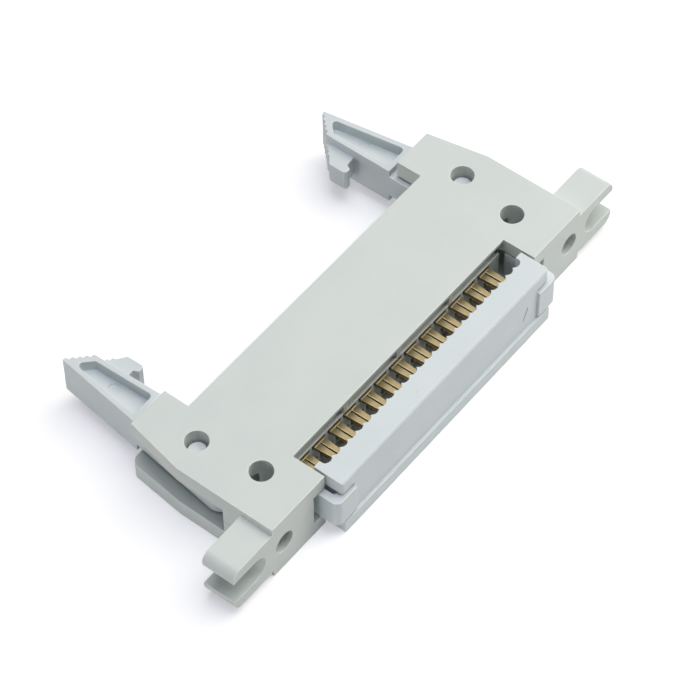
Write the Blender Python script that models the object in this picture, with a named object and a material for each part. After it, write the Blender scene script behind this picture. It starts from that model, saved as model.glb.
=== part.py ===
"""Ribbon cable plug with two rows of pins, a press-on cover and two ejector latches.

The plug lies flat, cable side towards -Y and mating side towards +Y. The origin is on the
bottom face, on the plug's centre line, under the front face of the wall that holds the
contacts. Lengths are in metres.
"""

import math

import bmesh
import bpy

MM = 0.001

# Contacts: the standard grid of the connector family
PITCH = 2.54 * MM
PER_ROW = 13
ROW_SPACING = 2.54 * MM
WIRE_PITCH = PITCH / 2
PIN_SIZE = 0.64 * MM
PIN_REACH = 6.0 * MM
PIN_POINT = 0.6 * MM
BLADE_THICK = 0.4 * MM
BLADE_WIDTH = 1.66 * MM
COLLAR_LENGTH = 0.22 * MM
COLLAR_PROUD = 0.05 * MM
FORK_LENGTH = 2.65 * MM
FORK_SLOT = 0.18 * MM
FORK_TAPER = 0.14 * MM
FORK_POINT = 0.3 * MM
FORK_BLUNT = 0.2 * MM
FORK_FLARE = 0.06 * MM
PIN_BLUNT = 0.29 * MM
CONTACT_GAP = 0.25 * MM

# Clearance kept where one piece fits into another
FIT = 0.3 * MM

# Housing
THICKNESS = 8.1 * MM
CAVITY_HEIGHT = 6.3 * MM
CAVITY_DEPTH = 9.3 * MM
CAVITY_END = 3.81 * MM
CHEEK = 0.3 * MM
TOWER_REACH = 3.16 * MM
TOWER_NOSE = 5.25 * MM
TOWER_SWELL = 1.42 * MM
TOWER_SLANT = 7.23 * MM
TOWER_PLATE = 2.2 * MM
LOWER_NOSE = 5.85 * MM
LOWER_CORNER = 1.1 * MM
LATCH_BAY_BACK = 0.6 * MM
LATCH_BAY_SIDE = 1.15 * MM
CONTACT_WALL = 2.75 * MM
PIN_PASSAGE = 1.0 * MM
WINDOW_LIP = 0.25 * MM
LIP_THICK = 0.5 * MM
RIB_THICK = 0.3 * MM
RIB_DROP = 2.2 * MM
GROOVE_WIDTH = 0.45 * MM
GROOVE_DROP = 2.5 * MM
GROOVE_END = 0.2 * MM
WEB_THICK = 0.62 * MM
WEB_STEP = 3.5 * PITCH
WINDOW_DEPTH = 4.06 * MM
WINDOW_MARGIN = 1.2 * MM
KEY_WIDTH = 4.5 * MM
KEY_DEPTH = 6.5 * MM
PIVOT_INSET = 2.85 * MM
PIVOT_SETBACK = 3.5 * MM
PIVOT_HOLE_RADIUS = 1.3 * MM
REAR_HOLE_RADIUS = 1.3 * MM
REAR_HOLE_INSET = 1.71 * MM
REAR_HOLE_SETBACK = 1.65 * MM

# Mounting ears
EAR_REACH = 6.07 * MM
EAR_DEPTH = 4.05 * MM
EAR_STEP = 0.9 * MM
EAR_ROUND = 1.1 * MM
EAR_SLOT_RADIUS = 1.6 * MM
EAR_SLOT_START = 1.1 * MM
EAR_HOLE_RADIUS = 1.3 * MM
EAR_HOLE_INSET = 1.82 * MM

# Press-on cover
COVER_STAND = 3.2 * MM
COVER_DEPTH = 3.17 * MM
COVER_SIDE_GAP = 0.25 * MM
SCALLOP_DEPTH = 0.38 * MM
COVER_TAB = 0.5 * MM
COVER_PLATE = 1.8 * MM
COVER_SLIT = 0.35 * MM
COVER_EDGE = 0.35 * MM
COVER_EDGE_STEPS = 3
ARM_THICK = 0.95 * MM
ARM_REACH = 2.78 * MM
ARM_ROUND = 0.8 * MM
ARM_FLEX_ROOM = 0.85 * MM
ARM_HEEL = 1.2 * MM
ARM_HEEL_ROUND = 0.35 * MM
ARM_UNDERCUT = 0.25 * MM
ARM_MOUTH = 0.5 * MM
BARB_PROUD = 0.35 * MM
BARB_LENGTH = 0.9 * MM
PAD_RETURN = 3.1 * MM
BACK_RELIEF = 0.35 * MM

# Ejector latches, measured from the pivot
LATCH_HALF_HEIGHT = 2.5 * MM
LATCH_INNER = 3.37 * MM
LATCH_HEEL = 7.35 * MM
LATCH_OUTER = 1.0 * MM
LATCH_LENGTH = 18.35 * MM
LATCH_TIP_OUTER = 0.85 * MM
LATCH_TIP_SLANT = 2.65 * MM
LATCH_TAIL = 5.5 * MM
TAIL_ROUND = 1.8 * MM
FOOT_REACH = 0.6 * MM
FOOT_DEPTH = 1.5 * MM
TRUNNION_DEPTH = 1.5 * MM
POCKET_WALL = 0.62 * MM
POCKET_DEPTH = 1.4 * MM
POCKET_HEEL_ROUND = 0.45 * MM
POCKET_TIP_ROUND = 0.4 * MM
POCKET_HOOK_ROUND = 0.12 * MM
THUMB_TEETH = 5
HOOK_TEETH = 3
TOOTH_DEPTH = 0.24 * MM
TOOTH_SHAPE = [(0.0, 0.0), (0.3, 0.75), (0.5, 1.0), (0.7, 0.75)]
HOOK_HALF_HEIGHT = 1.4 * MM
HOOK_REACH = 2.4 * MM
HOOK_BACK = 11.5 * MM
HOOK_FRONT = 14.0 * MM
HOOK_UNDERCUT = 0.6 * MM
HOOK_RAKE = 0.12 * MM
HOOK_ROUND = 0.5 * MM
LEFT_LATCH_AJAR = math.radians(2.0)

# Worked out from the sizes above
MID = THICKNESS / 2
ROW_HALF = (PER_ROW - 1) / 2 * PITCH
CAVITY_HALF = ROW_HALF + CAVITY_END
TOWER_INNER = CAVITY_HALF + CHEEK
BODY_HALF = TOWER_INNER + TOWER_NOSE + TOWER_SWELL
TOWER_FRONT = CAVITY_DEPTH + TOWER_REACH
WINDOW_FRONT = -CONTACT_WALL - WINDOW_LIP
BODY_REAR = WINDOW_FRONT - WINDOW_DEPTH
WIRES_HALF = PER_ROW * WIRE_PITCH
WINDOW_HALF = WIRES_HALF + WINDOW_MARGIN
SLOT_LOW = TOWER_PLATE
SLOT_HIGH = THICKNESS - TOWER_PLATE
PIVOT_X = TOWER_INNER + PIVOT_INSET
PIVOT_Y = CAVITY_DEPTH - PIVOT_SETBACK
COVER_FRONT = -CONTACT_WALL - COVER_STAND
COVER_BACK = COVER_FRONT - COVER_DEPTH
COVER_TRAVEL = BODY_REAR - COVER_BACK
COVER_HALF = WINDOW_HALF - COVER_SIDE_GAP
ARM_LOW = COVER_PLATE + COVER_SLIT
ARM_HIGH = THICKNESS - ARM_LOW
ARM_OUTER = WINDOW_HALF + ARM_THICK
ARM_FRONT = COVER_FRONT + ARM_REACH
PAD_INNER = ARM_OUTER - PAD_RETURN
FORK_TIP = -CONTACT_WALL - FORK_LENGTH
SPILL = 1.0 * MM
CURVE_STEPS = 8
NEAR = 0.01 * MM


def clear_scene():
    """Remove every object, so that the model starts from nothing."""
    for obj in list(bpy.data.objects):
        bpy.data.objects.remove(obj, do_unlink=True)


def make_material(name, color, roughness, metallic=0.0):
    """Make a plain Principled material."""
    material = bpy.data.materials.new(name)
    material.use_nodes = True
    shader = material.node_tree.nodes["Principled BSDF"]
    shader.inputs["Base Color"].default_value = (*color, 1.0)
    shader.inputs["Roughness"].default_value = roughness
    shader.inputs["Metallic"].default_value = metallic
    return material


def make_object(name, mesh, material=None):
    """Link a mesh to the scene as an object."""
    obj = bpy.data.objects.new(name, mesh)
    bpy.context.collection.objects.link(obj)
    if material is not None and not mesh.materials:
        mesh.materials.append(material)
    return obj


def finish_mesh(name, bm):
    """Turn a bmesh into a mesh with its faces pointing out."""
    bmesh.ops.recalc_face_normals(bm, faces=bm.faces)
    mesh = bpy.data.meshes.new(name)
    bm.to_mesh(mesh)
    bm.free()
    return mesh


def arc(center, radius, start, end, steps=CURVE_STEPS):
    """Points along an arc in a plane, both ends included. Angles are in degrees."""
    points = []
    for step in range(steps + 1):
        angle = math.radians(start + (end - start) * step / steps)
        points.append((center[0] + radius * math.cos(angle), center[1] + radius * math.sin(angle)))
    return points


def mirrored(outline, side):
    """The outline itself for the +X side, or its mirror image for the -X side."""
    return [(side * x, y) for x, y in outline]


def offset_inwards(outline, distance):
    """Move every edge of a convex, anticlockwise outline inwards."""
    lines = []
    for index, (x1, y1) in enumerate(outline):
        x2, y2 = outline[(index + 1) % len(outline)]
        length = math.hypot(x2 - x1, y2 - y1)
        normal = ((y1 - y2) / length, (x2 - x1) / length)
        lines.append((*normal, normal[0] * x1 + normal[1] * y1 + distance))
    corners = []
    for index, (a2, b2, c2) in enumerate(lines):
        a1, b1, c1 = lines[index - 1]
        det = a1 * b2 - a2 * b1
        corners.append(((c1 * b2 - c2 * b1) / det, (a1 * c2 - a2 * c1) / det))
    return corners


def corner_arc(before, corner, after, radius, steps=4):
    """The arc that rounds a corner of a convex outline, from the edge before to the edge after."""
    to_before = math.atan2(before[1] - corner[1], before[0] - corner[0])
    to_after = math.atan2(after[1] - corner[1], after[0] - corner[0])
    opening = (to_after - to_before + math.pi) % (2 * math.pi) - math.pi
    middle = to_before + opening / 2
    reach = radius / math.sin(abs(opening) / 2)
    center = (corner[0] + reach * math.cos(middle), corner[1] + reach * math.sin(middle))
    half_turn = math.copysign(90 - math.degrees(abs(opening)) / 2, -opening)
    away = math.degrees(middle) + 180
    return arc(center, radius, away - half_turn, away + half_turn, steps)


def rounded(outline, radii):
    """Round the corners of a convex outline, each by its own radius."""
    points = []
    for index, corner in enumerate(outline):
        after = outline[(index + 1) % len(outline)]
        points += corner_arc(outline[index - 1], corner, after, radii[index])
    return points


def add_box(bm, low, high):
    """Add a box between two corners."""
    size = [high[axis] - low[axis] for axis in range(3)]
    corners = bmesh.ops.create_cube(bm, size=1.0)["verts"]
    bmesh.ops.scale(bm, vec=size, verts=corners)
    middle = [(high[axis] + low[axis]) / 2 for axis in range(3)]
    bmesh.ops.translate(bm, vec=middle, verts=corners)


def add_prism(bm, outline, start, end, axis="Z"):
    """Extrude a flat outline along an axis: (x, y) along Z, (x, z) along Y, (y, z) along X."""
    placed = {
        "X": lambda a, b, height: (height, a, b),
        "Y": lambda a, b, height: (a, height, b),
        "Z": lambda a, b, height: (a, b, height),
    }[axis]
    ring = [bm.verts.new(placed(a, b, start)) for a, b in outline]
    base = bm.faces.new(ring)
    moved = bmesh.ops.extrude_face_region(bm, geom=[base])["geom"]
    lifted = [item for item in moved if isinstance(item, bmesh.types.BMVert)]
    bmesh.ops.translate(bm, vec=placed(0.0, 0.0, end - start), verts=lifted)


def boxes(name, corners, material=None):
    """One object made of separate boxes."""
    bm = bmesh.new()
    for low, high in corners:
        add_box(bm, low, high)
    return make_object(name, finish_mesh(name, bm), material)


def prisms(name, outlines, start, end, axis="Z", material=None):
    """One object made of outlines extruded between the same two heights."""
    bm = bmesh.new()
    for outline in outlines:
        add_prism(bm, outline, start, end, axis)
    return make_object(name, finish_mesh(name, bm), material)


def circle(center, radius, steps=32):
    """A round outline."""
    return arc(center, radius, 0.0, 360.0 * (steps - 1) / steps, steps - 1)


def apply_tool(target, tool, operation):
    """Cut or join a solid with another one, which itself stays out of sight."""
    tool.hide_render = True
    tool.display_type = "WIRE"
    tool.parent = target
    change = target.modifiers.new(tool.name, "BOOLEAN")
    change.operation = operation
    change.solver = "EXACT"
    change.object = tool


def cut(target, tool):
    """Take the tool's volume away from the target."""
    apply_tool(target, tool, "DIFFERENCE")


def fuse(target, tool):
    """Add the tool's volume to the target."""
    apply_tool(target, tool, "UNION")


def housing_outline():
    """The housing seen from above, without the ears."""
    nose = TOWER_INNER + TOWER_NOSE
    half = [
        (CAVITY_HALF - SPILL, CAVITY_DEPTH),
        (TOWER_INNER, CAVITY_DEPTH),
        (TOWER_INNER, TOWER_FRONT),
        (nose, TOWER_FRONT),
        (BODY_HALF, TOWER_FRONT - TOWER_SLANT),
        (BODY_HALF, BODY_REAR),
    ]
    return mirrored(half, 1) + mirrored(reversed(half), -1)


def ear_outline():
    """One ear seen from the cable side, with its outer corners rounded."""
    inner = BODY_HALF - SPILL
    outer = BODY_HALF + EAR_REACH
    low = EAR_STEP
    high = THICKNESS - EAR_STEP
    lower_corner = arc((outer - EAR_ROUND, low + EAR_ROUND), EAR_ROUND, -90, 0)
    upper_corner = arc((outer - EAR_ROUND, high - EAR_ROUND), EAR_ROUND, 0, 90)
    return [(inner, low)] + lower_corner + upper_corner + [(inner, high)]


def ear_slot_outline():
    """The slot that opens at an ear's outer end, round at its inner end."""
    center = BODY_HALF + EAR_SLOT_START + EAR_SLOT_RADIUS
    outer = BODY_HALF + EAR_REACH + SPILL
    inner_end = arc((center, MID), EAR_SLOT_RADIUS, 90, 270, 2 * CURVE_STEPS)
    return inner_end + [(outer, MID - EAR_SLOT_RADIUS), (outer, MID + EAR_SLOT_RADIUS)]


def add_ears(housing):
    """Fuse the two mounting ears on, with their end slots and cross holes."""
    rear = BODY_REAR
    front = BODY_REAR + EAR_DEPTH
    sides = (1, -1)
    ears = [mirrored(ear_outline(), side) for side in sides]
    fuse(housing, prisms("ears", ears, rear, front, "Y"))
    slots = [mirrored(ear_slot_outline(), side) for side in sides]
    cut(housing, prisms("ear_slots", slots, rear - SPILL, front + SPILL, "Y"))
    holes = [circle((side * (BODY_HALF - EAR_HOLE_INSET), MID), EAR_HOLE_RADIUS) for side in sides]
    cut(housing, prisms("ear_holes", holes, rear - SPILL, SPILL - LATCH_BAY_BACK, "Y"))


def cut_mating_side(housing):
    """Open the pin cavity, its key slot and the two forked latch bays."""
    wall = (THICKNESS - CAVITY_HEIGHT) / 2
    mouth = CAVITY_DEPTH + SPILL
    cut(housing, boxes("cavity", [((-CAVITY_HALF, 0.0, wall), (CAVITY_HALF, mouth, THICKNESS - wall))]))
    key_low = (-KEY_WIDTH / 2, CAVITY_DEPTH - KEY_DEPTH, -SPILL)
    key_high = (KEY_WIDTH / 2, mouth, MID)
    cut(housing, boxes("key_slot", [(key_low, key_high)]))
    inner = CAVITY_HALF - LATCH_BAY_SIDE
    outer = BODY_HALF + SPILL
    bay = [
        (inner, -LATCH_BAY_BACK),
        (outer, -LATCH_BAY_BACK),
        (outer, TOWER_FRONT + SPILL),
        (inner, TOWER_FRONT + SPILL),
    ]
    bays = [mirrored(bay, side) for side in (1, -1)]
    cut(housing, prisms("latch_bays", bays, SLOT_LOW, SLOT_HIGH))


def shape_lower_plates(housing):
    """Carry the plate under each latch bay further out than the one above, to a round corner."""
    inner = (TOWER_INNER, TOWER_FRONT)
    corner = (TOWER_INNER + LOWER_NOSE, TOWER_FRONT)
    side_end = (BODY_HALF, TOWER_FRONT - TOWER_SLANT)
    plate = [inner, (TOWER_INNER, side_end[1]), side_end, corner]
    fuse(housing, prisms("lower_plates", [mirrored(plate, side) for side in (1, -1)], 0.0, SLOT_LOW))
    trim = corner_arc(inner, corner, side_end, LOWER_CORNER, CURVE_STEPS)
    trim.append((corner[0] + SPILL, corner[1] + SPILL))
    trims = [mirrored(trim, side) for side in (1, -1)]
    cut(housing, prisms("lower_corners", trims, -SPILL, MID))


def cut_cable_side(housing):
    """Open the cable window, undercut below its lips, and the pockets for the cover's arms."""
    back = BODY_REAR - SPILL
    through = ((-WINDOW_HALF, back, -SPILL), (WINDOW_HALF, WINDOW_FRONT, THICKNESS + SPILL))
    cut(housing, boxes("cable_window", [through]))
    undercut_low = (-WINDOW_HALF, WINDOW_FRONT - SPILL, LIP_THICK)
    undercut_high = (WINDOW_HALF, -CONTACT_WALL, THICKNESS - LIP_THICK)
    cut(housing, boxes("window_undercut", [(undercut_low, undercut_high)]))
    cut_arm_pockets(housing, "arm_mouths", ARM_OUTER + ARM_FLEX_ROOM, -CONTACT_WALL - ARM_MOUTH)
    cut_arm_pockets(housing, "arm_channels", ARM_OUTER + BARB_PROUD + FIT, FIT - LATCH_BAY_BACK)


def cut_arm_pockets(housing, name, outer, front):
    """Cut one pocket at each end of the window, from the rear face as far as a given front."""
    pockets = []
    for side in (1, -1):
        near = side * (WINDOW_HALF - FIT)
        far = side * outer
        low = (min(near, far), BODY_REAR - SPILL, ARM_LOW - FIT)
        high = (max(near, far), front, ARM_HIGH + FIT)
        pockets.append((low, high))
    cut(housing, boxes(name, pockets))


def groove_outline(from_top):
    """The groove behind the thin rib under a window lip, as (y, z)."""
    rib_front = -CONTACT_WALL + RIB_THICK
    points = [
        (WINDOW_FRONT, LIP_THICK),
        (rib_front + GROOVE_WIDTH, LIP_THICK),
        (rib_front + GROOVE_WIDTH, GROOVE_DROP),
        (rib_front, GROOVE_DROP),
        (rib_front, RIB_DROP),
        (WINDOW_FRONT, RIB_DROP),
    ]
    return [(y, THICKNESS - depth if from_top else depth) for y, depth in points]


def cut_grooves(housing):
    """Cut the grooves between the window lips and the contact wall, leaving three webs."""
    webs = [-WEB_STEP, 0.0, WEB_STEP]
    starts = [GROOVE_END - WINDOW_HALF] + [x + WEB_THICK / 2 for x in webs]
    ends = [x - WEB_THICK / 2 for x in webs] + [WINDOW_HALF - GROOVE_END]
    for label, from_top in (("upper", True), ("lower", False)):
        bm = bmesh.new()
        for start, end in zip(starts, ends):
            add_prism(bm, groove_outline(from_top), start, end, "X")
        name = label + "_grooves"
        cut(housing, make_object(name, finish_mesh(name, bm)))


def contact_places():
    """Each contact's number, the middle of its pin, its height and its fork's sideways shift."""
    places = []
    for column in range(PER_ROW):
        x = column * PITCH - ROW_HALF
        places.append((2 * column + 1, x, MID + ROW_SPACING / 2, -WIRE_PITCH / 2))
        places.append((2 * column + 2, x, MID - ROW_SPACING / 2, WIRE_PITCH / 2))
    return places


def cut_contact_passages(housing):
    """Pierce the contact wall: a square hole for each pin, then a flat one for its blade."""
    pin_half = PIN_SIZE / 2 + CONTACT_GAP
    blade_half = BLADE_WIDTH / 2 + CONTACT_GAP
    blade_rise = BLADE_THICK / 2 + CONTACT_GAP
    pin_holes = []
    blade_holes = []
    for _, x, z, shift in contact_places():
        pin_low = (x - pin_half, -PIN_PASSAGE, z - pin_half)
        pin_holes.append((pin_low, (x + pin_half, SPILL, z + pin_half)))
        blade_low = (x + shift - blade_half, -CONTACT_WALL - SPILL / 2, z - blade_rise)
        blade_high = (x + shift + blade_half, CONTACT_GAP / 2 - PIN_PASSAGE, z + blade_rise)
        blade_holes.append((blade_low, blade_high))
    cut(housing, boxes("pin_holes", pin_holes))
    cut(housing, boxes("blade_holes", blade_holes))


def drill_housing(housing):
    """Drill the latch pivots and the two rear holes through the plates."""
    holes = []
    for side in (1, -1):
        holes.append(circle((side * PIVOT_X, PIVOT_Y), PIVOT_HOLE_RADIUS))
        rear_x = side * (TOWER_INNER + REAR_HOLE_INSET)
        holes.append(circle((rear_x, -REAR_HOLE_SETBACK), REAR_HOLE_RADIUS))
    cut(housing, prisms("through_holes", holes, -SPILL, THICKNESS + SPILL))


def make_housing(material):
    """The moulded housing: shroud, contact wall, latch towers and ears in one piece."""
    housing = prisms("housing", [housing_outline()], 0.0, THICKNESS, material=material)
    add_ears(housing)
    cut_mating_side(housing)
    shape_lower_plates(housing)
    cut_cable_side(housing)
    cut_grooves(housing)
    cut_contact_passages(housing)
    drill_housing(housing)
    return housing


def cover_outline():
    """The cover seen from above: scallops for the wires in front, plain at the back."""
    radius = (WIRE_PITCH ** 2 / 4 + SCALLOP_DEPTH ** 2) / (2 * SCALLOP_DEPTH)
    half_angle = math.degrees(math.asin(WIRE_PITCH / 2 / radius))
    front = []
    for wire in range(2 * PER_ROW):
        center_x = (wire + 0.5) * WIRE_PITCH - WIRES_HALF
        center_y = COVER_FRONT - SCALLOP_DEPTH + radius
        front += arc((center_x, center_y), radius, 270 - half_angle, 270 + half_angle, 6)[:-1]
    front.append((WIRES_HALF, COVER_FRONT))
    tab_y = COVER_FRONT + COVER_TAB
    right = [(WIRES_HALF, tab_y), (COVER_HALF, tab_y), (COVER_HALF, COVER_BACK)]
    left = [(-COVER_HALF, COVER_BACK), (-COVER_HALF, tab_y), (-WIRES_HALF, tab_y)]
    return front + right + left


def arm_outline():
    """One cover arm seen from above: a spring arm in the housing's channel, on a pad over the back."""
    back = COVER_BACK - BACK_RELIEF
    heel = back + ARM_HEEL
    fillet_center = (WINDOW_HALF - ARM_HEEL_ROUND, heel + ARM_HEEL_ROUND)
    corner = arc((ARM_OUTER - ARM_ROUND, back + ARM_ROUND), ARM_ROUND, 0, -90)
    barb = [
        (ARM_OUTER, ARM_FRONT - BARB_LENGTH),
        (ARM_OUTER + BARB_PROUD, ARM_FRONT - BARB_LENGTH),
        (ARM_OUTER, ARM_FRONT),
    ]
    root = [(PAD_INNER, back), (PAD_INNER, heel)] + arc(fillet_center, ARM_HEEL_ROUND, -90, 0)
    return list(reversed(barb)) + corner + root + [(WINDOW_HALF, ARM_FRONT)]


def cover_block():
    """The cover's block, with its back rounded along the top."""
    bm = bmesh.new()
    add_prism(bm, cover_outline(), 0.0, THICKNESS)
    edges = []
    for edge in bm.edges:
        at_back = all(abs(vert.co.y - COVER_BACK) < NEAR for vert in edge.verts)
        at_top = all(abs(vert.co.z - THICKNESS) < NEAR for vert in edge.verts)
        if at_back and at_top:
            edges.append(edge)
    bmesh.ops.bevel(
        bm,
        geom=edges,
        offset=COVER_EDGE,
        segments=COVER_EDGE_STEPS,
        profile=0.5,
        affect="EDGES",
        material=-1,
    )
    return finish_mesh("cover", bm)


def round_cover_ends(cover):
    """Round the upright corners of the cover's back, above the slits."""
    corner = (COVER_HALF, COVER_BACK)
    trim = corner_arc((0.0, COVER_BACK), corner, (COVER_HALF, COVER_FRONT), COVER_EDGE)
    trim.append((COVER_HALF + SPILL, COVER_BACK - SPILL))
    trims = [mirrored(trim, side) for side in (1, -1)]
    cut(cover, prisms("cover_ends", trims, ARM_HIGH + COVER_SLIT / 2, THICKNESS + SPILL))


def make_cover(material):
    """The press-on cover, with a pocket for each fork and a spring arm at each end."""
    cover = make_object("cover", cover_block(), material)
    strip_low = (-COVER_HALF, COVER_BACK - BACK_RELIEF, 0.0)
    strip_high = (COVER_HALF, COVER_BACK + SPILL, COVER_PLATE)
    fuse(cover, boxes("cover_strip", [(strip_low, strip_high)]))
    slits = []
    gaps = []
    for side in (1, -1):
        near_x = side * PAD_INNER
        core_x = side * (COVER_HALF - ARM_UNDERCUT)
        far_x = side * (ARM_OUTER + SPILL)
        for low_z in (COVER_PLATE, ARM_HIGH):
            low = (min(near_x, far_x), COVER_BACK - SPILL, low_z)
            high = (max(near_x, far_x), COVER_FRONT + SPILL, low_z + COVER_SLIT)
            slits.append((low, high))
        low = (min(core_x, far_x), COVER_BACK - BACK_RELIEF + ARM_HEEL, COVER_PLATE)
        high = (max(core_x, far_x), COVER_FRONT + SPILL, ARM_HIGH + COVER_SLIT)
        gaps.append((low, high))
    cut(cover, boxes("cover_slits", slits))
    cut(cover, boxes("arm_gaps", gaps))
    round_cover_ends(cover)
    arms = [mirrored(arm_outline(), side) for side in (1, -1)]
    fuse(cover, prisms("cover_arms", arms, ARM_LOW, ARM_HIGH))
    cut(cover, fork_pockets())
    return cover


def fork_pockets():
    """The blind pockets that the forks enter when the cover is pressed home."""
    half = BLADE_WIDTH / 2 + CONTACT_GAP
    rise = BLADE_THICK / 2 + CONTACT_GAP
    deep = FORK_TIP - COVER_TRAVEL - FIT
    pockets = []
    for _, x, z, shift in contact_places():
        low = (x + shift - half, deep, z - rise)
        high = (x + shift + half, COVER_FRONT + SPILL, z + rise)
        pockets.append((low, high))
    return boxes("fork_pockets", pockets)


def section_ring(bm, center, half_width, half_slot, half_height, y):
    """Eight corners round a contact's section, split where the fork's slot will be."""
    across = [-half_width, -half_slot, half_slot, half_width]
    upper = [bm.verts.new((center + x, y, half_height)) for x in across]
    lower = [bm.verts.new((center + x, y, -half_height)) for x in reversed(across)]
    return upper + lower


def join_rings(bm, first, second):
    """Skin between two rings of the same length."""
    count = len(first)
    for index in range(count):
        after = (index + 1) % count
        bm.faces.new((first[index], first[after], second[after], second[index]))


def add_tine(bm, root, side, center):
    """Grow one tine of the fork from its root, tapering to a blunt, slightly flared tip."""
    outer = BLADE_WIDTH / 2 - FORK_TAPER
    inner = FORK_SLOT / 2
    rise = BLADE_THICK / 2
    stations = [
        (outer, inner, FORK_TIP + FORK_POINT),
        (outer - FORK_BLUNT, inner + FORK_FLARE, FORK_TIP),
    ]
    before = root
    for far, near, y in stations:
        if side < 0:
            across = [center - far, center - near]
        else:
            across = [center + near, center + far]
        upper = [bm.verts.new((x, y, rise)) for x in across]
        lower = [bm.verts.new((x, y, -rise)) for x in reversed(across)]
        ring = upper + lower
        join_rings(bm, before, ring)
        before = ring
    bm.faces.new(before)


def contact_mesh(name, shift):
    """A contact: square pin with a blunt point, blade with a coined collar, then two tines."""
    bm = bmesh.new()
    pin = PIN_SIZE / 2
    tip = PIN_BLUNT / 2
    blade = BLADE_WIDTH / 2
    rise = BLADE_THICK / 2
    proud = rise + COLLAR_PROUD
    slot = FORK_SLOT / 2
    blade_start = -PIN_PASSAGE - CONTACT_GAP
    collar_end = -CONTACT_WALL - COLLAR_LENGTH
    rings = [
        section_ring(bm, 0.0, tip, slot, tip, PIN_REACH),
        section_ring(bm, 0.0, pin, slot, pin, PIN_REACH - PIN_POINT),
        section_ring(bm, 0.0, pin, slot, pin, -PIN_PASSAGE),
        section_ring(bm, shift, blade, slot, rise, blade_start),
        section_ring(bm, shift, blade, slot, rise, NEAR - CONTACT_WALL),
        section_ring(bm, shift, blade, slot, proud, -CONTACT_WALL),
        section_ring(bm, shift, blade, slot, proud, collar_end),
        section_ring(bm, shift, blade, slot, rise, collar_end - COLLAR_PROUD),
    ]
    bm.faces.new(rings[0])
    for first, second in zip(rings, rings[1:]):
        join_rings(bm, first, second)
    end = rings[-1]
    bm.faces.new((end[1], end[2], end[5], end[6]))
    add_tine(bm, [end[0], end[1], end[6], end[7]], -1, shift)
    add_tine(bm, [end[2], end[3], end[4], end[5]], 1, shift)
    return finish_mesh(name, bm)


def make_contacts(material):
    """All contacts: odd numbers in the upper row, even numbers in the lower row."""
    meshes = {}
    contacts = []
    for number, x, z, shift in contact_places():
        if shift not in meshes:
            row = "upper" if shift < 0 else "lower"
            meshes[shift] = contact_mesh("contact_" + row, shift)
        contact = make_object(f"contact_{number:02d}", meshes[shift], material)
        contact.location = (x, 0.0, z)
        contacts.append(contact)
    return contacts


def toothed_edge(start, end, teeth):
    """Points along an edge with rounded grip teeth standing out to its right."""
    run = (end[0] - start[0], end[1] - start[1])
    length = math.hypot(*run)
    out = (run[1] / length, -run[0] / length)
    points = []
    for tooth in range(teeth):
        for along, height in TOOTH_SHAPE:
            share = (tooth + along) / teeth
            rise = height * TOOTH_DEPTH
            x = start[0] + run[0] * share + out[0] * rise
            y = start[1] + run[1] * share + out[1] * rise
            points.append((x, y))
    return points + [end]


def outer_x(y):
    """Where the latch's slanted outer side lies at a distance from the pivot."""
    slope = (LATCH_OUTER + LATCH_TIP_OUTER) / (LATCH_LENGTH - LATCH_HEEL)
    return LATCH_OUTER + slope * (LATCH_HEEL - y)


def latch_arm_corners():
    """The thick part of the latch in plan, anticlockwise from its inner rear corner."""
    return [
        (-LATCH_INNER, LATCH_HEEL),
        (LATCH_OUTER, LATCH_HEEL),
        (-LATCH_TIP_OUTER, LATCH_LENGTH),
        (-LATCH_INNER, LATCH_LENGTH - LATCH_TIP_SLANT),
    ]


def latch_arm_outline():
    """The thick part with grip teeth on its slanted end."""
    corners = latch_arm_corners()
    return corners[:2] + toothed_edge(corners[2], corners[3], THUMB_TEETH)


def latch_tongue_outline():
    """The thin part that turns between the housing's plates, with its tail and ejector foot."""
    front = LATCH_HEEL + SPILL
    tail_y = -LATCH_TAIL + TAIL_ROUND
    tail_x = outer_x(tail_y) - TAIL_ROUND
    tail = arc((tail_x, tail_y), TAIL_ROUND, 0, -90)
    foot_x = -LATCH_INNER - FOOT_REACH
    foot_top = -LATCH_TAIL + FOOT_DEPTH
    outline = [(-LATCH_INNER, front), (-LATCH_INNER, foot_top + FOOT_REACH), (foot_x, foot_top)]
    outline += [(foot_x, -LATCH_TAIL)] + list(reversed(tail)) + [(outer_x(front), front)]
    return outline


def latch_hook_outline():
    """The hook that grips the mated socket, anticlockwise from its root."""
    inside = -LATCH_INNER + SPILL
    nose = -LATCH_INNER - HOOK_REACH
    nib = nose + HOOK_UNDERCUT
    top = (-LATCH_INNER, LATCH_LENGTH - LATCH_TIP_SLANT)
    shoulder = (nose + 2 * HOOK_ROUND, HOOK_FRONT + HOOK_ROUND)
    nose_arc = arc((nose + HOOK_ROUND, HOOK_FRONT - HOOK_ROUND), HOOK_ROUND, 110, 180, 4)
    lower = [
        (nose, HOOK_BACK + HOOK_ROUND / 2),
        (nose + HOOK_ROUND / 2, HOOK_BACK),
        (nib + HOOK_ROUND / 2, HOOK_BACK),
        (nib + HOOK_ROUND, HOOK_BACK + HOOK_UNDERCUT),
        (-LATCH_INNER, HOOK_BACK + HOOK_UNDERCUT + HOOK_RAKE),
        (inside, HOOK_BACK + HOOK_UNDERCUT + HOOK_RAKE),
    ]
    return [(inside, top[1])] + toothed_edge(top, shoulder, HOOK_TEETH) + nose_arc + lower


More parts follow.
